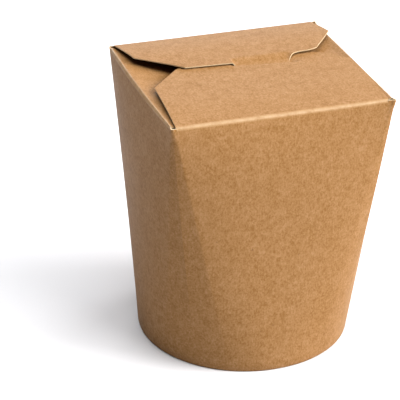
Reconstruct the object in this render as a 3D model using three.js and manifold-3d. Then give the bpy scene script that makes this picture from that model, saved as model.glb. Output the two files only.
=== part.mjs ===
// A shut noodle box of folded kraft board: a round base that opens to a square top.
// Two dust flaps slope in from the sides, the front lid flap lies over them, and the
// back lid flap lies over that, with its tongue tucked into a slit in the front flap.
// Millimetres, +Z up. The origin is the centre of the base, on the surface it stands on.
// The front face looks towards -Y.
import * as THREE from "three";
import { ConvexGeometry } from "three/addons/geometries/ConvexGeometry.js";
import { LoftGeometry } from "three/addons/geometries/LoftGeometry.js";
import { mergeVertices } from "three/addons/utils/BufferGeometryUtils.js";
import Module from "manifold-3d";

// Driving dimensions, of the shut box as it stands
const topWidth = 91;
const topDepth = 83.4;
const height = 113.4;
const baseDiameter = 88.1;
const board = 0.45;

// Wall: a scored crease runs down from each corner and ends where the curve takes over
const cornerRadius = 1.1;
const foldRadius = 0.8;
const creaseHalfAngle = THREE.MathUtils.degToRad(12);
const creaseEndZ = 52;
const roundSteps = 96;
const cornerSteps = 3;
const foldSteps = 3;

// Foot: the wall is turned in and up round the skirt of the base disc
const discBoard = 0.45;
const discTopZ = 6;
const skirtEndZ = 0.9;
const hemTopZ = 5;
const hemFloorZ = 0.6;
const gap = 0.3;

// Dust flaps: how far each reaches in, how far it has sunk there, and between which Y
// the space over it lies
const leftDust = { side: -1, reach: 24, sink: 2.6, fromY: -38.5, toY: 38.5 };
const rightDust = { side: 1, reach: 21, sink: 1.5, fromY: -6, toY: 37 };
const spaceOverLid = 1;
const notchRadius = 0.6;
const notchDepth = 1.4;
const notchInset = 0.95;
const notchSides = 8;

// Lid flaps: how far they bulge above the folds
const frontBulge = 0.75;
const frontTilt = 0.008;
const backBulge = 1.27;
const backEndLift = 0.4;
const easeLength = 22;
const foldSink = 0.25;
const foldOverlap = 0.3;
const rootDepth = 1;
const flapRows = [0, 0.03, 0.12, 0.24, 0.38, 0.54, 0.7, 0.85, 1];

// Tongue: it bends down along a line across the back flap and goes through a slit
const hingeY = 9.8;
const slitLeft = { x: -2.2, y: 4.8 };
const slitRight = { x: 18.8, y: 2.4 };
const slitSink = 0.35;
const hingeSink = 0.12;
const hingeOverlap = 0.4;
const tongueRows = 5;

const halfWidth = topWidth / 2;
const halfDepth = topDepth / 2;
const baseRadius = baseDiameter / 2;
const foldLine = halfDepth - foldRadius - foldOverlap;

// Lid flap outlines from left to right. Each line runs from X on the fold to a point X, Y on
// the free edge, and the flap is thin board except where it lies on the solid middle.
const frontOutline = [
  { foldX: -43.7, edge: [-41, -6.6], thin: true },
  { foldX: -37, edge: [-34, 1], thin: true },
  { foldX: -30, edge: [-27.7, 8], thin: true },
  { foldX: -21.8, edge: [-21.8, 11.2], thin: true },
  { foldX: -19.6, edge: [-19.6, 11.4], thin: false },
  { foldX: -6, edge: [-6, 12], thin: false },
  { foldX: 8, edge: [8, 12], thin: false },
  { foldX: 22.6, edge: [22.6, 11], thin: false },
  { foldX: 24.8, edge: [24.8, 10.6], thin: true },
  { foldX: 32, edge: [31.2, 9.7], thin: true },
  { foldX: 38, edge: [36.9, 7], thin: true },
  { foldX: 43, edge: [42.1, 1.4], thin: true },
  { foldX: 44.2, edge: [44.4, -0.6], thin: true },
];
const backOutline = [
  { foldX: -43.6, edge: [-40.7, 21.9], thin: true },
  { foldX: -37, edge: [-34.4, 16.5], thin: true },
  { foldX: -30, edge: [-28, 11], thin: true },
  { foldX: -25.4, edge: [-24.1, 6.9], thin: false },
  { foldX: -14, edge: [-14, 6.4], thin: false },
  { foldX: -4, edge: [-4, 5.9], thin: false },
  { foldX: -2.3, edge: [-2.3, 5.2], thin: false },
  { foldX: -1.9, edge: [-1.9, 9.6], thin: false },
  { foldX: 10, edge: [10, 9.6], thin: false },
  { foldX: 22.2, edge: [22.2, 9.6], thin: false },
  { foldX: 22.8, edge: [22.8, 8.3], thin: false },
  { foldX: 25.6, edge: [25.4, 9.1], thin: true },
  { foldX: 30, edge: [29.7, 9.4], thin: true },
  { foldX: 34, edge: [33.5, 10.5], thin: true },
  { foldX: 39.6, edge: [39.3, 17.9], thin: true },
  { foldX: 43.9, edge: [44.9, 25.3], thin: true },
];
const tongueOutline = [
  { foldX: -2.3, edge: [-2.3, 3.4] },
  { foldX: 8, edge: [8, 2] },
  { foldX: 17, edge: [17, 1] },
  { foldX: 19, edge: [18.9, 2.4] },
  { foldX: 20.6, edge: [20.1, 5.8] },
  { foldX: 22.8, edge: [22.5, 8.1] },
];

const wasm = await Module();
wasm.setup();

// A closed geometry as a solid that can be joined and cut
function toSolid(geometry) {
  const bare = new THREE.BufferGeometry();
  bare.setAttribute("position", geometry.getAttribute("position"));
  bare.setIndex(geometry.index);
  const merged = mergeVertices(bare, 1e-4);
  const vertProperties = merged.getAttribute("position").array;
  const triVerts = new Uint32Array(merged.index.array);
  return new wasm.Manifold(new wasm.Mesh({ numProp: 3, vertProperties, triVerts }));
}

function toGeometry(solid) {
  const { vertProperties, triVerts } = solid.getMesh();
  const geometry = new THREE.BufferGeometry();
  geometry.setAttribute("position", new THREE.BufferAttribute(vertProperties, 3));
  geometry.setIndex(new THREE.BufferAttribute(triVerts, 1));
  const faceted = geometry.toNonIndexed();
  faceted.computeVertexNormals();
  return faceted;
}

function kraft(color) {
  return new THREE.MeshStandardMaterial({ color, roughness: 0.78, metalness: 0 });
}

// The top edge of the wall part of the way round the fold, from 0 on the wall to 1 on the lid
function topRing(turn) {
  const angle = (turn * Math.PI) / 2;
  const inset = foldRadius * (1 - Math.cos(angle));
  const z = height - foldRadius * (1 - Math.sin(angle));
  const radius = cornerRadius - inset;
  const points = [];
  for (let quarter = 0; quarter < 4; quarter++) {
    const signX = quarter === 0 || quarter === 3 ? 1 : -1;
    const signY = quarter < 2 ? 1 : -1;
    for (let i = 0; i <= cornerSteps; i++) {
      const around = ((quarter + i / cornerSteps) * Math.PI) / 2;
      const x = signX * (halfWidth - cornerRadius) + radius * Math.cos(around);
      const y = signY * (halfDepth - cornerRadius) + radius * Math.sin(around);
      points.push(new THREE.Vector3(x, y, z));
    }
  }
  return points;
}

// Where a corner's crease ends, a little outside the curve that the wall bends to
function creaseEnd(signX, signY) {
  const reach = baseRadius / Math.cos(creaseHalfAngle) / Math.SQRT2;
  const foot = new THREE.Vector3(signX * reach, signY * reach, 0);
  const corner = new THREE.Vector3(signX * halfWidth, signY * halfDepth, height);
  return foot.lerp(corner, creaseEndZ / height);
}

// Board can't stretch, so the wall is the tightest skin round its base, top and creases
function wallSolid() {
  const points = [];
  for (let i = 0; i < roundSteps; i++) {
    const around = (i * 2 * Math.PI) / roundSteps;
    points.push(new THREE.Vector3(Math.cos(around), Math.sin(around), 0).multiplyScalar(baseRadius));
  }
  for (let i = 0; i <= foldSteps; i++) {
    points.push(...topRing(i / foldSteps));
  }
  for (const signX of [-1, 1]) {
    points.push(creaseEnd(signX, -1), creaseEnd(signX, 1));
  }
  return toSolid(new ConvexGeometry(points));
}

// A ring or disc turned from (radius, z) points about the Z axis
function turned(profile) {
  const points = profile.map(([radius, z]) => new THREE.Vector2(radius, z));
  const geometry = new THREE.LatheGeometry(points, roundSteps);
  geometry.rotateX(Math.PI / 2);
  return geometry;
}

const grooveOuter = baseRadius - board;
const skirtOuter = grooveOuter - gap;
const skirtInner = skirtOuter - discBoard;
const grooveInner = skirtInner - gap;
const hemInner = grooveInner - board;

// The hollow under the base, with the groove that holds the skirt
function footHollow() {
  return toSolid(
    turned([
      [0, -1],
      [hemInner, -1],
      [hemInner, hemTopZ],
      [grooveInner, hemTopZ],
      [grooveInner, hemFloorZ],
      [grooveOuter, hemFloorZ],
      [grooveOuter, discTopZ + gap],
      [0, discTopZ + gap],
    ]),
  );
}

function baseDiscGeometry() {
  return turned([
    [0, discTopZ - discBoard],
    [skirtInner, discTopZ - discBoard],
    [skirtInner, skirtEndZ],
    [skirtOuter, skirtEndZ],
    [skirtOuter, discTopZ],
    [0, discTopZ],
  ]);
}

// The space over one sloping dust flap
function dustSpace({ side, reach, sink, fromY, toY }) {
  const outerX = side * (halfWidth - foldRadius);
  const innerX = side * (halfWidth - foldRadius - reach);
  const slope = new THREE.Shape([
    new THREE.Vector2(outerX, height),
    new THREE.Vector2(innerX, height - sink),
    new THREE.Vector2(innerX, height + spaceOverLid),
    new THREE.Vector2(outerX, height + spaceOverLid),
  ]);
  const geometry = new THREE.ExtrudeGeometry(slope, { depth: toY - fromY, bevelEnabled: false });
  geometry.rotateX(Math.PI / 2);
  geometry.translate(0, toY, 0);
  return toSolid(geometry);
}

// The relief cut at each top corner, where the flaps part
function cornerNotch(signX, signY) {
  const geometry = new THREE.CylinderGeometry(notchRadius, notchRadius, 2 * notchDepth, notchSides);
  geometry.rotateX(Math.PI / 2);
  geometry.translate(signX * (halfWidth - notchInset), signY * (halfDepth - notchInset), height);
  return toSolid(geometry);
}

function ease(distance) {
  return Math.sin((Math.min(distance / easeLength, 1) * Math.PI) / 2);
}

function frontHeight(x, y) {
  return height + ease(y + halfDepth) * (frontBulge - frontTilt * x);
}

function backHeight(x, y) {
  return height + ease(halfDepth - y) * (backBulge + backEndLift * Math.abs(x / halfWidth));
}

// The tongue slopes from the back flap at its hinge to just under the front flap at the slit
function tongueHeight(x, y) {
  const along = (x - slitLeft.x) / (slitRight.x - slitLeft.x);
  const slitY = THREE.MathUtils.lerp(slitLeft.y, slitRight.y, along);
  const share = (hingeY - y) / (hingeY - slitY);
  const hingeZ = backHeight(x, hingeY) - hingeSink;
  return THREE.MathUtils.lerp(hingeZ, frontHeight(x, slitY) - slitSink, Math.max(share, 0));
}

// A plate from cross sections that each run out along its top and back underneath. It closes
// at both ends on the middle line of the end section.
function plateSolid(sections) {
  const spine = (section) => section.map((point, i) => point.clone().lerp(section.at(-1 - i), 0.5));
  return toSolid(new LoftGeometry([spine(sections[0]), ...sections, spine(sections.at(-1))]));
}

// A lid flap, whose first row is sunk into the fold and whose solid part is rooted below
function lidFlap(outline, foldY, heightAt) {
  const sections = outline.map(({ foldX, edge, thin }) => {
    const fold = new THREE.Vector2(foldX, foldY);
    const upper = [];
    const lower = [];
    for (const share of flapRows) {
      const spot = fold.clone().lerp(new THREE.Vector2(...edge), share);
      const z = heightAt(spot.x, spot.y) - (share === 0 ? foldSink : 0);
      upper.push(new THREE.Vector3(spot.x, spot.y, z));
      lower.unshift(new THREE.Vector3(spot.x, spot.y, thin ? z - board : height - rootDepth));
    }
    return foldY > 0 ? [...upper, ...lower] : [...upper, ...lower].reverse();
  });
  return plateSolid(sections);
}

function tongueSolid() {
  const sections = tongueOutline.map(({ foldX, edge }) => {
    const hinge = new THREE.Vector2(foldX, hingeY + hingeOverlap);
    const upper = [];
    const lower = [];
    for (let i = 0; i <= tongueRows; i++) {
      const spot = hinge.clone().lerp(new THREE.Vector2(...edge), i / tongueRows);
      upper.push(new THREE.Vector3(spot.x, spot.y, tongueHeight(spot.x, spot.y)));
      lower.unshift(new THREE.Vector3(spot.x, spot.y, height - rootDepth / 2));
    }
    return [...upper, ...lower];
  });
  return plateSolid(sections);
}

function cardSolid() {
  let card = wallSolid().subtract(footHollow());
  card = card.subtract(dustSpace(leftDust)).subtract(dustSpace(rightDust));
  card = card.add(lidFlap(frontOutline, -foldLine, frontHeight));
  card = card.add(lidFlap(backOutline, foldLine, backHeight)).add(tongueSolid());
  for (const signX of [-1, 1]) {
    card = card.subtract(cornerNotch(signX, -1)).subtract(cornerNotch(signX, 1));
  }
  return card;
}

const box = new THREE.Group();
const cardBox = new THREE.Mesh(toGeometry(cardSolid()), kraft(0xc8996a));
cardBox.name = "card_box";
const baseDisc = new THREE.Mesh(baseDiscGeometry(), kraft(0xc09468));
baseDisc.name = "base_disc";
box.add(cardBox, baseDisc);

export default box;
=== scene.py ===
"""A shut kraft noodle box on a white studio floor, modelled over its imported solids.

The box is one folded blank of thin board: a wall that is round at the foot and square at
the top, two dust flaps that slope in, a front lid flap with a slit, and a back lid flap
whose tongue goes down through that slit. A round base disc closes the foot.
"""

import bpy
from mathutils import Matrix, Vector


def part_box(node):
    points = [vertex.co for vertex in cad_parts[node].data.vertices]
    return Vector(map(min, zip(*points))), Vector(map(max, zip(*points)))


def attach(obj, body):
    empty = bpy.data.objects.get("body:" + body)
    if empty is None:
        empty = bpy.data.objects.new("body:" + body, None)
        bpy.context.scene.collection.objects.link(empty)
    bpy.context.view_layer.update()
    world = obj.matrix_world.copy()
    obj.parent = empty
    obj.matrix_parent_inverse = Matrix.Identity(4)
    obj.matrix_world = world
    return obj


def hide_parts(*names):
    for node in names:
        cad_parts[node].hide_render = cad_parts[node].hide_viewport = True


bl_info = {
    "name": "Noodle Takeaway Box",
    "version": (1, 0, 0),
    "blender": (4, 5, 0),
    "location": "View3D > Sidebar > Noodle Box",
    "description": "Models a shut kraft noodle box, its base disc and a plain studio round it",
    "category": "Add Mesh",
}

import math
from collections import namedtuple

import bmesh
import bpy
from bpy.props import FloatProperty, FloatVectorProperty, PointerProperty
from mathutils import Matrix, Vector

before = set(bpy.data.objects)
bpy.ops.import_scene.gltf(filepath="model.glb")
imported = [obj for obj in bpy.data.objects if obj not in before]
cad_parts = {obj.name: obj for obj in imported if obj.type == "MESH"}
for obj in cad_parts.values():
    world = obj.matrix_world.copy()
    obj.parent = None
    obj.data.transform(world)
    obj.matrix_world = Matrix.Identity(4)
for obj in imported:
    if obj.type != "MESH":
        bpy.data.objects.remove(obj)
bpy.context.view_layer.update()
CARD_LOW, CARD_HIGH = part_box("card_box")
DISC_LOW, DISC_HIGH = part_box("base_disc")

MM = 0.001

# How finely the board is divided
CORNER_STEPS = 30
SIDE_STEP = 0.0018
WALL_ROWS = 38
FOLD_ROWS = 8
BEND_ROWS = 6
LID_ROWS = 40
BEHIND_SLIT_ROWS = 7
DUST_ROWS = 12

# Free edges of the lid flaps from left to right, in millimetres: X on the fold, then X and Y
# on the edge. A run between two points marked round is drawn as a curve.
EdgePoint = namedtuple("EdgePoint", "fold_x x y round")
FRONT_EDGE = [
    EdgePoint(-43.7, -41.0, -6.6, False),
    EdgePoint(-30.0, -27.7, 8.0, False),
    EdgePoint(-21.8, -21.8, 11.2, False),
    EdgePoint(-3.4, -3.4, 12.0, False),
    EdgePoint(19.3, 19.3, 12.0, False),
    EdgePoint(24.8, 24.8, 10.6, False),
    EdgePoint(32.0, 31.2, 9.7, False),
    EdgePoint(38.0, 36.9, 7.0, False),
    EdgePoint(42.2, 42.1, 1.4, False),
    EdgePoint(42.9, 44.4, -0.6, False),
]
BACK_EDGE = [
    EdgePoint(-43.6, -40.7, 21.9, False),
    EdgePoint(-30.0, -28.0, 11.0, False),
    EdgePoint(-25.4, -24.1, 6.9, False),
    EdgePoint(-14.0, -14.0, 6.4, False),
    EdgePoint(-4.6, -4.6, 5.95, True),
    EdgePoint(-3.4, -3.3, 5.6, True),
    EdgePoint(-2.9, -2.7, 4.6, True),
    EdgePoint(-2.6, -2.3, 2.6, True),
    EdgePoint(-2.0, -1.6, -1.2, True),
    EdgePoint(0.8, 0.8, -3.8, True),
    EdgePoint(8.0, 8.0, -4.8, True),
    EdgePoint(14.6, 14.6, -4.4, True),
    EdgePoint(17.2, 17.0, -2.2, True),
    EdgePoint(18.0, 17.9, 0.6, True),
    EdgePoint(18.7, 18.6, 2.9, True),
    EdgePoint(20.6, 20.1, 5.8, True),
    EdgePoint(22.9, 22.5, 8.0, True),
    EdgePoint(25.7, 25.4, 9.0, True),
    EdgePoint(30.0, 29.7, 9.3, True),
    EdgePoint(34.0, 33.5, 10.6, True),
    EdgePoint(39.2, 39.2, 17.7, False),
    EdgePoint(42.8, 44.9, 25.3, False),
]
ROUND_STEP = 0.35
STRAIGHT_STEP = 1.8

# The blank's ends are glued with a lap at the corner between the right and back walls: how
# far round that corner the outer end is, how wide its step is, and where its lap has faded
# into the wall
SEAM_QUARTER = 0
SEAM_SHARE = 0.56
SEAM_STEP = 0.001
SEAM_FADE = 0.95

# How far, in millimetres, each corner of the wall leans out and how far its tip flares out
# beyond that, from the back right one anticlockwise
CORNER_LEANS = (0.0, -0.4, 0.0, 0.5)
CORNER_FLARES = (0.4, 0.6, 0.5, 0.5)

# In metres: the heights between which a corner's lean sets in, how far below the top its
# flare starts, and how far above its own end its crease has come to its full angle
LEAN_FROM = 0.03
LEAN_TO = 0.09
FLARE_DEPTH = 0.007
CREASE_FADE = 0.07

# The wall: how round its top corners and the turn under its foot are, how far the left
# crease bows out, and how far round the base circle half of each side reaches
CORNER_RADIUS = 0.0011
FOOT_RADIUS = 0.00097
LEFT_BOW = 0.001
SIDE_SPREAD = math.radians(26)

# How much closer together the lines of a corner lie at its crease, from 0 to 1
CREASE_CROWDING = 0.75

# How far above the floor the seam's lap stands out in full, and how far below the top the
# wall's belly does
LAP_RISE = 0.003
BELLY_REACH = 0.04

# How far below the creases the wall ends where no flap is joined to it
CORNER_TRIM = 0.0004

# The scored line along the side and back folds: its depth, where it lies on the turn from
# wall to flap, and how much of that turn it takes each way
SCORE_DEPTH = 0.0002
SCORE_TURN = 0.42
SCORE_SPREAD = 1 / 7

# Lid flaps: how far from its fold a flap has its full bulge, how much less the front one
# rises for each metre to the right, and how much more the back one does at its ends
BULGE_LENGTH = 0.022
FRONT_TILT = 0.008
BACK_END_RISE = 0.0003

# Dust flaps, in metres: how far each reaches in, how far from its fold it has stepped down
# by one board, how much further its ends drop and from which Y
DUST_REACHES = {"left": 0.024, "right": 0.021}
DUST_STEP_LENGTH = 0.003
DUST_END_DROP = 0.0003
DUST_END_FROM_Y = 0.030

# Dust flaps, as shares: how soon from the fold that drop sets in, the power that the slope
# follows, and how long the inner edge is beside the fold
DUST_END_FADE = 0.1
DUST_SLOPE = 0.9
DUST_INNER_SHARE = 0.955

# The slit in the front flap, in millimetres: a line from left to right, and how wide it is
SLIT_LEFT = Vector((-2.2, 4.8))
SLIT_RIGHT = Vector((18.8, 2.4))
SLIT_FROM_X = -3.4
SLIT_TO_X = 19.3
SLIT_WIDTH = 0.6

# Each line of the front flap is parted by the slit: the share of the line at which the
# slit's Y is taken, and the largest share that its part before the slit may have
SLIT_ABOUT = 0.85
SLIT_AT_MOST = 0.88

# The tongue bends down from a line across the back flap, at this Y in millimetres. In metres:
# where it turns down at its left and right, and its gap under the front flap. The last is
# where its smooth bend would begin, as a share of the way from that line to the slit
HINGE_Y = 9.8
TONGUE_LEFT = (-0.0044, -0.0027)
TONGUE_RIGHT = (0.0190, 0.0225)
TONGUE_GAP = 0.00006
TONGUE_EASE = -0.6

# The strip of the front flap behind the slit is pressed down. In metres: where that sets in
# at its left and right, how deep it is at the slit, and the Y where it ends
PRESSED_LEFT = (-0.0050, -0.0032)
PRESSED_RIGHT = (0.0195, 0.0220)
PRESSED_DEPTH = 0.00098
PRESSED_TO_Y = 0.0125

# The base disc, in metres: the reach of its bend into the skirt, the rings of its flat top,
# how many lines go round it, and the share of the skirt's height at its middle row
DISC_BEND = 0.0009
DISC_RINGS = (0.004, 0.012, 0.02, 0.028, 0.036)
DISC_LINES = 128
SKIRT_SHARE = 0.6

# A margin for rounding, in metres
ROUNDING = 1e-6

# The colour sockets of a Mix node, whose names its other kinds share
MIX_FIRST = 6
MIX_SECOND = 7
MIX_RESULT = 2

# The photograph's camera, in the box's own frame
CAMERA_PLACE = Vector((-0.24569, -0.65222, 0.41898))
CAMERA_TURN = math.radians(-19.13)
CAMERA_RISE = math.radians(27.56)
CAMERA_ROLL = math.radians(0.75)
CAMERA_LENS = 171.675

# Faces that meet at less than this angle are shaded as one surface
SMOOTH_ANGLE = math.radians(35)

FLOOR_SIZE = 8
WORLD_STRENGTH = 0.085


class NoodleBoxSizes(bpy.types.PropertyGroup):
    """Sizes of the folded box"""

    top_width: FloatProperty(
        name="Top width",
        description="Across the lid from the left crease to the right one",
        default=CARD_HIGH.x - CARD_LOW.x,
        unit="LENGTH",
    )
    top_depth: FloatProperty(
        name="Top depth",
        description="Across the lid from the front crease to the back one",
        default=0.0834,
        unit="LENGTH",
    )
    height: FloatProperty(
        name="Height",
        description="From the floor to the lid's creases",
        default=0.1134,
        unit="LENGTH",
    )
    base_diameter: FloatProperty(
        name="Base diameter",
        description="Across the round foot",
        default=CARD_HIGH.y - CARD_LOW.y,
        unit="LENGTH",
    )
    board: FloatProperty(
        name="Board",
        description="Thickness of the kraft board",
        default=0.00045,
        unit="LENGTH",
    )
    fold: FloatProperty(
        name="Fold",
        description="How far each side of a side or back crease the board is bent",
        default=0.0011,
        unit="LENGTH",
    )
    front_fold: FloatProperty(
        name="Front fold",
        description="How far each side of the front crease the board is bent",
        default=0.0016,
        unit="LENGTH",
    )
    notch: FloatProperty(
        name="Corner notch",
        description="How far from a top corner the flaps begin",
        default=0.0019,
        unit="LENGTH",
    )
    crease_angle: FloatProperty(
        name="Corner crease",
        description="Half the angle that the wall is folded by at its four corners",
        default=math.radians(14.5),
        subtype="ANGLE",
    )
    crease_end: FloatProperty(
        name="Crease end",
        description="Height at which the corner creases have given way to the round foot",
        default=0.008,
        unit="LENGTH",
    )
    belly: FloatProperty(
        name="Belly",
        description="How far each side of the wall would bulge out at the top if it were free",
        default=0.0044,
        unit="LENGTH",
    )
    front_bulge: FloatProperty(
        name="Front flap bulge",
        description="How far the front lid flap rises above its fold",
        default=0.00075,
        unit="LENGTH",
    )
    back_bulge: FloatProperty(
        name="Back flap bulge",
        description="How far the back lid flap rises above its fold",
        default=0.0018,
        unit="LENGTH",
    )
    left_sink: FloatProperty(
        name="Left dust flap sink",
        description="How far the left dust flap has dropped at its inner edge",
        default=0.0036,
        unit="LENGTH",
    )
    right_sink: FloatProperty(
        name="Right dust flap sink",
        description="How far the right dust flap has dropped at its inner edge",
        default=0.0026,
        unit="LENGTH",
    )
    hem_height: FloatProperty(
        name="Hem height",
        description="How far the turned-in foot runs up inside",
        default=0.005,
        unit="LENGTH",
    )


class NoodleBoxColours(bpy.types.PropertyGroup):
    """Colours of the board and the studio"""

    kraft: FloatVectorProperty(
        name="Kraft",
        description="The board's general brown",
        subtype="COLOR",
        size=3,
        default=(0.258, 0.133, 0.050),
    )
    kraft_dark: FloatVectorProperty(
        name="Dark fibres",
        description="The darker streaks and patches",
        subtype="COLOR",
        size=3,
        default=(0.199, 0.092, 0.025),
    )
    kraft_pale: FloatVectorProperty(
        name="Pale fibres",
        description="The lighter streaks and patches",
        subtype="COLOR",
        size=3,
        default=(0.311, 0.171, 0.079),
    )
    fleck: FloatVectorProperty(
        name="Flecks",
        description="The few dark flecks in the board",
        subtype="COLOR",
        size=3,
        default=(0.12, 0.056, 0.022),
    )
    # Paler board along the folds: partly rubbed fibres, partly a painted highlight on the bend.
    # The cut edge also uses it for its darker layers.
    rubbed_and_highlight: FloatVectorProperty(
        name="Rubbed",
        description="The board where a fold has rubbed it",
        subtype="COLOR",
        size=3,
        default=(0.37, 0.232, 0.112),
    )
    cut_edge: FloatVectorProperty(
        name="Cut edge",
        description="The raw edge of the board",
        subtype="COLOR",
        size=3,
        default=(0.58, 0.44, 0.27),
    )
    floor: FloatVectorProperty(
        name="Floor",
        description="The studio floor",
        subtype="COLOR",
        size=3,
        default=(0.70, 0.70, 0.72),
    )


def mix(start, end, share):
    return start + (end - start) * share


def smooth(low, high, value):
    """0 below low, 1 above high and an even curve between them."""
    share = min(max((value - low) / (high - low), 0), 1)
    return share * share * (3 - 2 * share)


def ease(distance, reach):
    """Rises quickly from 0 and levels out to 1 at reach."""
    return math.sin(min(max(distance / reach, 0), 1) * math.pi / 2)


def round_run(before, start, end, after, share):
    """A point on a smooth curve from start to end, which heads for the points beyond them."""
    along = start * 2 + (end - before) * share
    bend = (before * 2 - start * 5 + end * 4 - after) * share ** 2
    turn = (start * 3 - before - end * 3 + after) * share ** 3
    return (along + bend + turn) / 2


def edge_run(points):
    """The flap's free edge from end to end, as X on the fold and a place on the edge."""
    run = []
    last = len(points) - 1
    for i in range(last):
        start, end = points[i], points[i + 1]
        near, far = Vector(start[1:3]), Vector(end[1:3])
        curved = start.round and end.round
        before = Vector(points[i - 1][1:3]) if i > 0 and points[i - 1].round else near
        after = Vector(points[i + 2][1:3]) if i + 2 <= last and points[i + 2].round else far
        steps = max(1, round((far - near).length / (ROUND_STEP if curved else STRAIGHT_STEP)))
        for step in range(steps):
            share = step / steps
            fold_x = mix(start.fold_x, end.fold_x, share)
            place = round_run(before, near, far, after, share) if curved else near.lerp(far, share)
            run.append((fold_x * MM, place * MM))
    run.append((points[last].fold_x * MM, Vector(points[last][1:3]) * MM))
    return run


# One upright line of the wall: where it starts on the base circle, where it meets the top
# edge, which side it belongs to and where its flap ends if it has one, how far it stands out
# where the blank's two ends lap, which way and how much of the wall's belly it has, and how
# much of its corner's lean and flare
Station = namedtuple("Station", "angle top side edge lap belly lean flare")
NO_BELLY = Vector((0, 0))


class Blank:
    """The folded blank's surface, worked out from the sizes."""

    def __init__(self, sizes):
        self.half_width = sizes.top_width / 2
        self.half_depth = sizes.top_depth / 2
        self.height = sizes.height
        self.radius = sizes.base_diameter / 2
        self.board = sizes.board
        self.folds = {side: sizes.fold for side in ("right", "back", "left")}
        self.folds["front"] = sizes.front_fold
        self.wall_top = self.height - sizes.front_fold
        self.notch = sizes.notch
        self.crease_angle = sizes.crease_angle
        self.crease_end = sizes.crease_end
        self.front_bulge = sizes.front_bulge
        self.back_bulge = sizes.back_bulge
        self.belly = sizes.belly
        self.hem_height = sizes.hem_height
        self.sinks = {"left": sizes.left_sink, "right": sizes.right_sink}
        self.stations = self.ring()

    def ring(self):
        """Every station once round the box, anticlockwise from the right wall."""
        stations = []
        for quarter, side in enumerate(("right", "back", "left", "front")):
            stations += self.side_stations(quarter, side)
            stations += self.corner_stations(quarter)
        return stations

    def side_stations(self, quarter, side):
        half = self.half_depth if side in ("right", "left") else self.half_width
        straight = half - CORNER_RADIUS
        centre = quarter * math.pi / 2
        if side == "front":
            runs = edge_run(FRONT_EDGE)
        elif side == "back":
            runs = [(-fold_x, place) for fold_x, place in reversed(edge_run(BACK_EDGE))]
        else:
            runs = self.dust_run(side, half - self.notch)
        ends = [(-straight, None)] + runs + [(straight, None)]
        stations = []
        for along, edge in ends:
            share = min(abs(along / straight), 1)
            turn = SIDE_SPREAD * share ** 2
            angle = centre + math.copysign(turn, along)
            belly = Vector((math.cos(centre), math.sin(centre))) * (1 - share ** 2)
            top = self.side_point(side, along)
            stations.append(Station(angle, top, side, edge, 0, belly, 0, 0))
        return stations

    def dust_run(self, side, half):
        """The dust flap's inner edge, a little shorter than its fold."""
        count = round(2 * half / SIDE_STEP)
        sign = 1 if side == "right" else -1
        inner_x = sign * (self.half_width - DUST_REACHES[side])
        run = []
        for i in range(count + 1):
            along = mix(-half, half, i / count)
            run.append((along, Vector((inner_x, sign * along * DUST_INNER_SHARE))))
        return run

    def side_point(self, side, along):
        """A point on one of the top creases, which runs straight but for the left one's bow."""
        if side == "right":
            return Vector((self.half_width, along))
        if side == "back":
            return Vector((-along, self.half_depth))
        if side == "left":
            bow = LEFT_BOW * math.cos(along / self.half_depth * math.pi / 2)
            return Vector((-self.half_width - bow, -along))
        return Vector((along, -self.half_depth))

    def corner_stations(self, quarter):
        """Stations round the corner after a side, closer together at its crease."""
        stations = []
        start = quarter * math.pi / 2
        sign_x = 1 if quarter in (0, 3) else -1
        sign_y = 1 if quarter < 2 else -1
        middle = Vector((sign_x * (self.half_width - CORNER_RADIUS),
                         sign_y * (self.half_depth - CORNER_RADIUS)))
        places = []
        for i in range(1, CORNER_STEPS):
            even = i / CORNER_STEPS
            share = even + CREASE_CROWDING * math.sin(2 * math.pi * even) / (2 * math.pi)
            if quarter == SEAM_QUARTER and share > SEAM_SHARE:
                if not any(lap for _, lap in places):
                    places += [(SEAM_SHARE, 0), (SEAM_SHARE + SEAM_STEP, self.board)]
                places.append((share, self.board * (1 - smooth(SEAM_SHARE, SEAM_FADE, share))))
            else:
                places.append((share, 0))
        for share, lap in places:
            turn = start + share * math.pi / 2
            top = middle + Vector((math.cos(turn), math.sin(turn))) * CORNER_RADIUS
            angle = mix(start + SIDE_SPREAD, start + math.pi / 2 - SIDE_SPREAD, share)
            tip = math.sin(math.pi * share) * MM
            lean, flare = CORNER_LEANS[quarter] * tip, CORNER_FLARES[quarter] * tip
            stations.append(Station(angle, top, None, None, lap, NO_BELLY, lean, flare))
        return stations

    def wall(self, station, z):
        """The wall's outer face. Its lines are straight from the base circle to the top edge,
        and above the foot the base circle gives way to a corner at each crease."""
        diagonal = (math.floor(station.angle / (math.pi / 2)) + 0.5) * math.pi / 2
        inside = max(self.crease_angle - abs(station.angle - diagonal), 0)
        crease = smooth(self.crease_end, self.crease_end + CREASE_FADE, z)
        reach = self.radius * (1 + (1 / math.cos(inside) - 1) * crease)
        outward = Vector((math.cos(station.angle), math.sin(station.angle)))
        place = (outward * reach).lerp(station.top, z / self.height)
        lean = station.lean * smooth(LEAN_FROM, LEAN_TO, z)
        flare = station.flare * smooth(self.height - FLARE_DEPTH, self.height, z) ** 2
        place += outward * (station.lap * smooth(0, LAP_RISE, z) + lean + flare)
        bulge = self.belly * ease(self.height - z, BELLY_REACH) * (z / self.height) ** 2
        place += station.belly * bulge
        return Vector((place.x, place.y, z))

    def foot(self, station, turn):
        """The outer face under the foot, from 0 inside the hem to 1 on the wall."""
        outward = Vector((math.cos(station.angle), math.sin(station.angle), 0))
        angle = math.pi * (1 + turn)
        wall = self.wall(station, FOOT_RADIUS)
        middle = wall.xy.length - FOOT_RADIUS
        place = outward * (middle + FOOT_RADIUS * math.cos(angle))
        place.z = FOOT_RADIUS * (1 + math.sin(angle))
        return place

    def hem(self, station, z):
        place = self.foot(station, 0)
        place.z = z
        return place

    def slit_y(self, x):
        share = (x / MM - SLIT_LEFT.x) / (SLIT_RIGHT.x - SLIT_LEFT.x)
        return mix(SLIT_LEFT.y, SLIT_RIGHT.y, share) * MM

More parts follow.
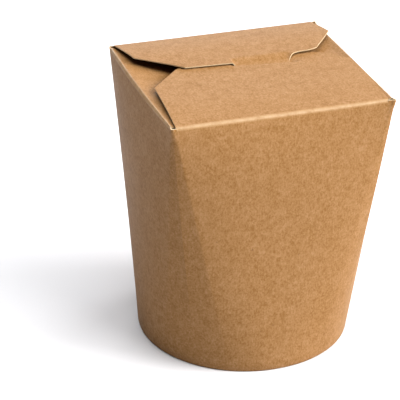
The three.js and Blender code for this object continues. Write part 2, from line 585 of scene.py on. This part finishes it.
    def front_level(self, x, y):
        """The front flap's outer face before the tongue dents it."""
        rise = self.front_bulge - FRONT_TILT * x
        return self.height + ease(y + self.half_depth, BULGE_LENGTH) * rise

    def front_height(self, x, y):
        """The front flap's outer face."""
        slit = self.slit_y(x)
        level = self.front_level(x, y)
        if y <= slit:
            return level
        across = smooth(*PRESSED_LEFT, x) * (1 - smooth(*PRESSED_RIGHT, x))
        behind = smooth(0, SLIT_WIDTH * MM, y - slit)
        left_over = max(1 - (y - slit) / (PRESSED_TO_Y - slit), 0)
        return level - PRESSED_DEPTH * across * behind * left_over

    def back_height(self, x, y):
        """The back flap's outer face, with its tongue down under the front flap."""
        rise = self.back_bulge + BACK_END_RISE * abs(x / self.half_width)
        level = self.height + ease(self.half_depth - y, BULGE_LENGTH) * rise
        across = smooth(*TONGUE_LEFT, x) * (1 - smooth(*TONGUE_RIGHT, x))
        if across == 0 or y > HINGE_Y * MM:
            return level
        slit = self.slit_y(x)
        under = self.front_level(x, min(y, slit)) - self.board - TONGUE_GAP
        share = smooth(TONGUE_EASE, 1, (HINGE_Y * MM - y) / (HINGE_Y * MM - slit))
        start = smooth(TONGUE_EASE, 1, 0)
        down = mix(level, under, min((share - start) / (1 - start), 1))
        return mix(level, down, across)

    def dust_height(self, side, x, y):
        """A dust flap's outer face, which slopes down from its fold."""
        along = max((self.half_width - abs(x)) / DUST_REACHES[side], 0)
        step = self.board * smooth(0, DUST_STEP_LENGTH, self.half_width - abs(x))
        end = DUST_END_DROP * smooth(DUST_END_FROM_Y, self.half_depth, abs(y))
        drop = (self.sinks[side] - self.board) * along ** DUST_SLOPE
        return self.height - step - end * smooth(0, DUST_END_FADE, along) - drop

    def flap(self, station, share):
        """The outer face of a flap, from 0 at the crease to 1 at its free edge."""
        place = station.top.lerp(station.edge, share)
        if station.side == "front":
            z = self.front_height(place.x, place.y)
        elif station.side == "back":
            z = self.back_height(place.x, place.y)
        else:
            z = self.dust_height(station.side, place.x, place.y)
        return Vector((place.x, place.y, z))

    def fold_share(self, station):
        return self.folds[station.side] / (station.edge - station.top).length

    def fold_point(self, station, turn):
        """The outer face round a top fold, from 0 on the wall to 1 on the flap. The scored
        line shows as a shallow dent along the middle."""
        start = self.wall(station, self.wall_top)
        crest = self.wall(station, self.height)
        end = self.flap(station, self.fold_share(station))
        place = start * (1 - turn) ** 2 + crest * (2 * turn * (1 - turn)) + end * turn ** 2
        inward = (start + end) / 2 - crest
        depth = 0 if station.side == "front" else SCORE_DEPTH
        dent = depth * max(1 - abs(turn - SCORE_TURN) / SCORE_SPREAD, 0)
        return place + inward.normalized() * dent


class Modeller:
    """Builds a sheet row by row: each row of edges is pulled out of the last, then placed."""

    def __init__(self, name, count, radius):
        deselect()
        bpy.ops.mesh.primitive_circle_add(vertices=count, radius=radius)
        self.piece = bpy.context.object
        self.piece.name = name
        mesh = self.piece.data
        mesh.name = name
        # The last layer marks the fold rows, which the board's finish paints paler: partly rubbed
        # board, partly a painted highlight.
        for layer, kind in (("station", "INT"), ("row", "INT"), ("rub_and_highlight", "FLOAT")):
            mesh.attributes.new(layer, kind, "POINT")
        mesh.attributes["station"].data.foreach_set("value", range(count))
        bpy.ops.object.mode_set(mode="EDIT")
        bpy.ops.mesh.select_mode(type="EDGE")
        bpy.ops.mesh.select_all(action="SELECT")
        self.row = 0

    def form(self):
        form = bmesh.from_edit_mesh(self.piece.data)
        layers = form.verts.layers
        return form, layers.int["station"], layers.int["row"], layers.float["rub_and_highlight"]

    def place(self, where, rub_and_highlight=0.0):
        form, station, row, rub_highlight_layer = self.form()
        for vert in form.verts:
            if vert.select:
                vert.co = where(vert[station])
                vert[row] = self.row
                vert[rub_highlight_layer] = rub_and_highlight
        bmesh.update_edit_mesh(self.piece.data)

    def pull(self, where, rub_and_highlight=0.0):
        """Extrudes the selected edges and places the new row."""
        bpy.ops.mesh.extrude_edges_move()
        self.row += 1
        self.place(where, rub_and_highlight)

    def select_edges(self, chosen_row, chosen):
        bpy.ops.mesh.select_all(action="DESELECT")
        form, station, row, _ = self.form()
        for edge in form.edges:
            if all(v[row] == chosen_row and chosen(v[station]) for v in edge.verts):
                edge.select = True
        form.select_flush_mode()
        bmesh.update_edit_mesh(self.piece.data)

    def delete_faces(self, first_row, chosen):
        bpy.ops.mesh.select_mode(type="FACE")
        bpy.ops.mesh.select_all(action="DESELECT")
        form, station, row, _ = self.form()
        rows = {first_row, first_row + 1}
        for face in form.faces:
            between = {v[row] for v in face.verts} == rows
            if between and all(chosen(v[station]) for v in face.verts):
                face.select = True
        bmesh.update_edit_mesh(self.piece.data)
        bpy.ops.mesh.delete(type="FACE")
        bpy.ops.mesh.select_mode(type="EDGE")

    def turn_outwards(self, row_inside, row_beyond):
        """Makes all faces agree, with those of a wall row facing away from the middle."""
        bpy.ops.mesh.select_all(action="SELECT")
        bpy.ops.mesh.normals_make_consistent(inside=False)
        form, _, row, _ = self.form()
        form.normal_update()
        for face in form.faces:
            if {v[row] for v in face.verts} == {row_inside, row_beyond}:
                centre = face.calc_center_median()
                if face.normal.x * centre.x + face.normal.y * centre.y < 0:
                    bpy.ops.mesh.flip_normals()
                break

    def finish(self):
        bpy.ops.object.mode_set(mode="OBJECT")
        return self.piece


def deselect():
    if bpy.context.mode != "OBJECT":
        bpy.ops.object.mode_set(mode="OBJECT")
    bpy.ops.object.select_all(action="DESELECT")


def apply_modifier(piece, kind, **settings):
    deselect()
    piece.select_set(True)
    bpy.context.view_layer.objects.active = piece
    bpy.ops.object.modifier_add(type=kind)
    modifier = piece.modifiers[-1]
    for name, value in settings.items():
        setattr(modifier, name, value)
    bpy.ops.object.modifier_apply(modifier=modifier.name)


def shade_smooth(piece, angle):
    deselect()
    piece.select_set(True)
    bpy.context.view_layer.objects.active = piece
    bpy.ops.object.shade_smooth_by_angle(angle=angle)


def need_faces(piece):
    if not piece.data.polygons:
        raise RuntimeError(f"{piece.name} has no faces")


def fold_blank(blank):
    """The whole blank as one sheet, without thickness."""
    stations = blank.stations
    sheet = Modeller("noodle_box_card", len(stations), blank.radius)
    sheet.place(lambda i: blank.hem(stations[i], blank.hem_height))
    sheet.pull(lambda i: blank.hem(stations[i], blank.hem_height / 2))
    for step in range(BEND_ROWS + 1):
        sheet.pull(lambda i: blank.foot(stations[i], step / BEND_ROWS))
    foot_row = sheet.row
    for step in range(1, WALL_ROWS + 1):
        z = mix(FOOT_RADIUS, blank.wall_top, step / WALL_ROWS)
        sheet.pull(lambda i: blank.wall(stations[i], z))
    top_row = sheet.row

    sheet.select_edges(top_row, lambda i: stations[i].edge is None or is_flap_end(stations, i))
    sheet.pull(lambda i: blank.wall(stations[i], blank.height - CORNER_TRIM))
    for side in ("right", "back", "left", "front"):
        fold_flap(blank, sheet, top_row, side)
    sheet.turn_outwards(foot_row + 1, foot_row + 2)
    return sheet.finish()


def is_flap_end(stations, i):
    """Whether a station carries the end of a flap."""
    before = stations[i - 1]
    after = stations[(i + 1) % len(stations)]
    return before.edge is None or after.edge is None


def fold_flap(blank, sheet, top_row, side):
    """Bends one flap over from the top of the wall and pulls it out to its free edge."""
    stations = blank.stations

    def belongs(i):
        return stations[i].side == side and stations[i].edge is not None

    sheet.select_edges(top_row, belongs)
    for step in range(1, FOLD_ROWS + 1):
        turn = step / FOLD_ROWS
        # How strongly this fold row is painted paler, most in the middle of the bend: partly
        # rubbing, partly a painted highlight.
        rub_and_highlight = math.sin(math.pi * turn)
        sheet.pull(lambda i: blank.fold_point(stations[i], turn), rub_and_highlight)

    def along(i, share):
        return blank.flap(stations[i], mix(blank.fold_share(stations[i]), 1, share))

    if side in ("left", "right"):
        for step in range(1, DUST_ROWS + 1):
            sheet.pull(lambda i: along(i, step / DUST_ROWS))
        return
    if side == "back":
        for step in range(1, LID_ROWS + 1):
            sheet.pull(lambda i: along(i, step / LID_ROWS))
        return

    def slit_share(i):
        top, edge = stations[i].top, stations[i].edge
        start = blank.fold_share(stations[i])
        slit = (blank.slit_y(mix(top.x, edge.x, SLIT_ABOUT)) - top.y) / (edge.y - top.y)
        return min((slit - start) / (1 - start), SLIT_AT_MOST)

    def behind(i, share):
        start = slit_share(i) + SLIT_WIDTH * MM / (stations[i].edge - stations[i].top).length
        return along(i, mix(start, 1, share))

    for step in range(1, LID_ROWS + 1):
        sheet.pull(lambda i: along(i, slit_share(i) * step / LID_ROWS))
    slit_row = sheet.row
    for step in range(BEHIND_SLIT_ROWS + 1):
        sheet.pull(lambda i: behind(i, step / BEHIND_SLIT_ROWS))
    first = SLIT_FROM_X * MM - ROUNDING
    last = SLIT_TO_X * MM + ROUNDING
    sheet.delete_faces(slit_row, lambda i: first <= stations[i].top.x <= last)


def base_disc_sheet(blank):
    """The base disc's outer face: a flat round top that turns down into its skirt."""
    radius = DISC_HIGH.x
    top = DISC_HIGH.z
    low = DISC_LOW.z
    rings = [*DISC_RINGS, radius - DISC_BEND]
    sheet = Modeller("base_disc_card", DISC_LINES, rings[0])

    def around(i, ring_radius, z):
        angle = i / DISC_LINES * 2 * math.pi
        return Vector((math.cos(angle) * ring_radius, math.sin(angle) * ring_radius, z))

    sheet.place(lambda i: around(i, rings[0], top))
    bpy.ops.mesh.edge_face_add()
    for ring_radius in rings[1:]:
        sheet.pull(lambda i: around(i, ring_radius, top))
    for step in range(1, BEND_ROWS + 1):
        turn = step / BEND_ROWS * math.pi / 2
        reach = radius - DISC_BEND * (1 - math.sin(turn))
        z = top - DISC_BEND * (1 - math.cos(turn))
        sheet.pull(lambda i: around(i, reach, z))
    for z in (mix(top, low, SKIRT_SHARE), low):
        sheet.pull(lambda i: around(i, radius, z))
    sheet.turn_outwards(sheet.row - 1, sheet.row)
    return sheet.finish()


class Socket:
    """A shader link that can be used in sums, which add the Math nodes for them."""

    def __init__(self, finish, link):
        self.finish = finish
        self.link = link

    def sum(self, operation, first, second):
        node = self.finish.node("ShaderNodeMath", {"operation": operation}, {0: first, 1: second})
        return node.out()

    def __add__(self, other):
        return self.sum("ADD", self, other)

    def __radd__(self, other):
        return self.sum("ADD", other, self)

    def __sub__(self, other):
        return self.sum("SUBTRACT", self, other)

    def __rsub__(self, other):
        return self.sum("SUBTRACT", other, self)

    def __mul__(self, other):
        return self.sum("MULTIPLY", self, other)

    def __rmul__(self, other):
        return self.sum("MULTIPLY", other, self)

    def size(self):
        return self.sum("ABSOLUTE", self, 0.0)


class NodeRef:
    """A node and the finish it belongs to."""

    def __init__(self, finish, node):
        self.finish = finish
        self.node = node

    def out(self, name=0):
        return Socket(self.finish, self.node.outputs[name])


class Finish:
    """One material and its nodes."""

    def __init__(self, name):
        self.material = bpy.data.materials.new(name)
        self.material.use_nodes = True
        self.tree = self.material.node_tree
        self.shader = self.tree.nodes["Principled BSDF"]

    def node(self, kind, settings=None, values=None):
        """Adds a node, sets it up, then gives its sockets their values or links."""
        node = self.tree.nodes.new(kind)
        for name, value in (settings or {}).items():
            setattr(node, name, value)
        for name, value in (values or {}).items():
            self.feed(node.inputs[name], value)
        return NodeRef(self, node)

    def feed(self, socket, value):
        if isinstance(value, Socket):
            self.tree.links.new(value.link, socket)
        else:
            socket.default_value = value

    def set(self, **values):
        """Feeds the shader's own sockets, which are named with _ for each space."""
        for name, value in values.items():
            self.feed(self.shader.inputs[name.replace("_", " ")], value)

    def blend(self, share, first, second):
        """A colour between two, by a share."""
        values = {"Factor": share, MIX_FIRST: first, MIX_SECOND: second}
        return self.node("ShaderNodeMix", {"data_type": "RGBA"}, values).out(MIX_RESULT)

    def noise(self, place, scale, detail=2.0, roughness=0.5):
        values = {"Vector": place, "Scale": scale, "Detail": detail, "Roughness": roughness}
        return self.node("ShaderNodeTexNoise", {}, values).out(0)

    def ramp(self, value, low, high, curve="LINEAR"):
        """From 0 at low to 1 at high, and level beyond them."""
        limits = {"Value": value, "From Min": low, "From Max": high}
        return self.node("ShaderNodeMapRange", {"interpolation_type": curve}, limits).out(0)

    def band(self, value, low, high):
        """The same with soft ends."""
        return self.ramp(value, low, high, "SMOOTHSTEP")

    def bump(self, height, strength, distance):
        values = {"Height": height, "Strength": strength, "Distance": distance}
        return self.node("ShaderNodeBump", {}, values).out()

    def object_place(self, stretch=(1, 1, 1)):
        place = self.node("ShaderNodeTexCoord").out("Object")
        return self.node("ShaderNodeMapping", {}, {"Vector": place, "Scale": stretch}).out(0)


def rgba(colour):
    return (*colour, 1)


def kraft_finish(name, colours):
    """Brown kraft board: fine fibres a little longer up the wall than across it, soft
    patches, a few dark hairs and flecks, and folds painted paler, partly as rubbed board and
    partly as a painted highlight."""
    finish = Finish(name)
    level = finish.object_place()
    grain = finish.noise(finish.object_place((1, 0.6, 0.8)), 1350, 3, 0.75)
    threads = finish.noise(finish.object_place((1, 1, 0.3)), 2000, 2, 0.6)
    clouds = finish.noise(level, 300, 2, 0.5)
    patches = finish.noise(level, 70, 3, 0.55)
    tone = (grain - 0.5) * 4.6 + (threads - 0.5) * 1.6
    tone = tone + (clouds - 0.5) * 1.4 + (patches - 0.5) * 0.7
    darker = finish.ramp(tone, 0.0, -0.9)
    paler = finish.ramp(tone, 0.0, 0.9)
    colour = finish.blend(darker, rgba(colours.kraft), rgba(colours.kraft_dark))
    colour = finish.blend(paler, colour, rgba(colours.kraft_pale))

    hair_run = finish.noise(finish.object_place((1, 1, 0.5)), 260, 3, 0.6)
    hairs = finish.band((hair_run - 0.5).size(), 0.012, 0.0)
    broken = finish.band(finish.noise(level, 500, 1, 0.5), 0.52, 0.6)
    colour = finish.blend(hairs * broken * 0.5, colour, rgba(colours.kraft_dark))
    fleck_spots = finish.noise(finish.object_place((1, 1, 0.6)), 650, 1, 0.4)
    colour = finish.blend(finish.band(fleck_spots, 0.79, 0.83) * 0.5, colour, rgba(colours.fleck))

    # Along the folds the colour turns paler in uneven patches: partly rubbed fibres, partly a
    # painted highlight. The coat and the lower roughness there add real gloss.
    fold = finish.node("ShaderNodeAttribute", {"attribute_name": "rub_and_highlight"}).out("Fac")
    rub_highlight_patches = finish.ramp(finish.noise(level, 240, 3, 0.65), 0.36, 0.6)
    rub_and_highlight = fold * (rub_highlight_patches * 0.5 + 0.55)
    colour = finish.blend(rub_and_highlight * 0.9, colour, rgba(colours.rubbed_and_highlight))

    finish.set(
        Base_Color=colour,
        Roughness=0.44 + grain * 0.14 - rub_and_highlight * 0.12,
        Specular_IOR_Level=0.05,
        Coat_Weight=rub_and_highlight * 0.7,
        Coat_Roughness=0.32,
        Normal=finish.bump(grain * 0.6 + threads * 0.3 + clouds * 0.3, 0.35, 0.00006),
    )
    return finish.material


def cut_edge_finish(name, colours):
    """The raw edge of the board, where its pale inner fibres show in layers."""
    finish = Finish(name)
    layers = finish.noise(finish.object_place((1, 1, 6)), 1500, 3, 0.6)
    pale = finish.band(layers, 0.2, 0.6)
    colour = finish.blend(pale, rgba(colours.rubbed_and_highlight), rgba(colours.cut_edge))
    finish.set(Base_Color=colour, Roughness=0.8, Normal=finish.bump(layers, 0.4, 0.00005))
    return finish.material


def floor_finish(name, colours):
    """Plain matt white."""
    finish = Finish(name)
    finish.set(Base_Color=rgba(colours.floor), Roughness=0.9, Specular_IOR_Level=0.1)
    return finish.material


class NOODLEBOX_OT_card(bpy.types.Operator):
    """Folds the blank into the shut box and gives it its board"""

    bl_idname = "noodlebox.card"
    bl_label = "Folded card"

    def execute(self, context):
        colours = context.scene.noodle_box_colours
        blank = Blank(context.scene.noodle_box_sizes)
        card = fold_blank(blank)
        card.data.materials.append(kraft_finish("kraft_board", colours))
        card.data.materials.append(cut_edge_finish("kraft_cut_edge", colours))
        apply_modifier(
            card,
            "SOLIDIFY",
            thickness=blank.board,
            offset=-1,
            use_even_offset=True,
            use_quality_normals=True,
            material_offset_rim=1,
        )
        shade_smooth(card, SMOOTH_ANGLE)
        need_faces(card)
        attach(card, "root")
        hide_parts("card_box")
        return {"FINISHED"}


class NOODLEBOX_OT_base_disc(bpy.types.Operator):
    """Makes the round base disc with its skirt"""

    bl_idname = "noodlebox.base_disc"
    bl_label = "Base disc"

    def execute(self, context):
        sizes = context.scene.noodle_box_sizes
        colours = context.scene.noodle_box_colours
        disc = base_disc_sheet(Blank(sizes))
        disc.data.materials.append(kraft_finish("kraft_base", colours))
        disc.data.materials.append(cut_edge_finish("kraft_base_edge", colours))
        apply_modifier(
            disc,
            "SOLIDIFY",
            thickness=sizes.board,
            offset=-1,
            use_even_offset=True,
            material_offset_rim=1,
        )
        shade_smooth(disc, SMOOTH_ANGLE)
        need_faces(disc)
        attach(disc, "root")
        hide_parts("base_disc")
        return {"FINISHED"}


# The studio's soft lights: degrees from the front towards the right, degrees up, how wide
# they are in metres, their power and their colour
Light = namedtuple("Light", "name turn rise size power colour")
LIGHTS = [
    Light("key_light", 62, 29, 1.8, 154, (1, 0.99, 0.97)),
    Light("front_light", 30, 41, 1.3, 42, (1, 0.99, 0.97)),
    Light("top_light", 0, 85, 2.8, 98, (1, 1, 1)),
    Light("back_light", 170, 23, 2.4, 50, (0.96, 0.98, 1)),
    Light("side_light", 114, 16, 1.4, 40, (1, 1, 1)),
]
LIGHT_DISTANCE = 3.0


def add_light(light):
    turn, rise = math.radians(light.turn), math.radians(light.rise)
    level = Vector((math.sin(turn), -math.cos(turn), 0)) * math.cos(rise)
    away = level + Vector((0, 0, math.sin(rise)))
    deselect()
    bpy.ops.object.light_add(type="AREA", location=away * LIGHT_DISTANCE)
    lamp = bpy.context.object
    lamp.name = light.name
    lamp.rotation_euler = away.to_track_quat("Z", "Y").to_euler()
    lamp.data.shape = "DISK"
    lamp.data.size = light.size
    lamp.data.energy = light.power
    lamp.data.color = light.colour


def add_camera(context):
    """A camera that sees the box as the photograph's did."""
    back = Vector((
        math.sin(CAMERA_TURN) * math.cos(CAMERA_RISE),
        -math.cos(CAMERA_TURN) * math.cos(CAMERA_RISE),
        math.sin(CAMERA_RISE),
    ))
    right = Vector((0, 0, 1)).cross(back).normalized()
    level = Matrix((right, back.cross(right), back)).transposed()
    camera_data = bpy.data.cameras.new("photo_camera")
    camera_data.sensor_width = 36
    camera_data.lens = CAMERA_LENS
    camera_data.clip_end = 50
    camera = bpy.data.objects.new("photo_camera", camera_data)
    context.scene.collection.objects.link(camera)
    camera.matrix_world = (level @ Matrix.Rotation(CAMERA_ROLL, 3, "Z")).to_4x4()
    camera.location = CAMERA_PLACE
    return camera


class NOODLEBOX_OT_studio(bpy.types.Operator):
    """Adds the pale floor, the soft lights and the camera"""

    bl_idname = "noodlebox.studio"
    bl_label = "Studio"

    def execute(self, context):
        colours = context.scene.noodle_box_colours
        deselect()
        bpy.ops.mesh.primitive_plane_add(size=FLOOR_SIZE)
        floor = bpy.context.object
        floor.name = "studio_floor"
        floor.data.materials.append(floor_finish("studio_floor", colours))

        for light in LIGHTS:
            add_light(light)

        world = bpy.data.worlds.new("studio_white")
        world.use_nodes = True
        background = world.node_tree.nodes["Background"].inputs
        background["Color"].default_value = (1, 1, 1, 1)
        background["Strength"].default_value = WORLD_STRENGTH
        context.scene.world = world

        context.scene.camera = add_camera(context)
        context.scene.view_settings.view_transform = "Standard"
        if len([lamp for lamp in context.scene.objects if lamp.type == "LIGHT"]) < len(LIGHTS):
            raise RuntimeError("the studio lacks a light")
        return {"FINISHED"}


class NOODLEBOX_PT_panel(bpy.types.Panel):
    """Lists the sizes, the colours and the steps"""

    bl_label = "Noodle Box"
    bl_idname = "NOODLEBOX_PT_panel"
    bl_space_type = "VIEW_3D"
    bl_region_type = "UI"
    bl_category = "Noodle Box"

    def draw(self, context):
        layout = self.layout
        for group in (context.scene.noodle_box_sizes, context.scene.noodle_box_colours):
            box = layout.box()
            for name in group.bl_rna.properties.keys():
                if name not in ("rna_type", "name"):
                    box.prop(group, name)
        for operator in (NOODLEBOX_OT_card, NOODLEBOX_OT_base_disc, NOODLEBOX_OT_studio):
            layout.operator(operator.bl_idname)


CLASSES = (
    NoodleBoxSizes,
    NoodleBoxColours,
    NOODLEBOX_OT_card,
    NOODLEBOX_OT_base_disc,
    NOODLEBOX_OT_studio,
    NOODLEBOX_PT_panel,
)


def register():
    for cls in CLASSES:
        bpy.utils.register_class(cls)
    bpy.types.Scene.noodle_box_sizes = PointerProperty(type=NoodleBoxSizes)
    bpy.types.Scene.noodle_box_colours = PointerProperty(type=NoodleBoxColours)


def unregister():
    del bpy.types.Scene.noodle_box_colours
    del bpy.types.Scene.noodle_box_sizes
    for cls in reversed(CLASSES):
        bpy.utils.unregister_class(cls)


def main():
    register()
    bpy.ops.noodlebox.card()
    bpy.ops.noodlebox.base_disc()
    bpy.ops.noodlebox.studio()


if __name__ == "__main__":
    main()
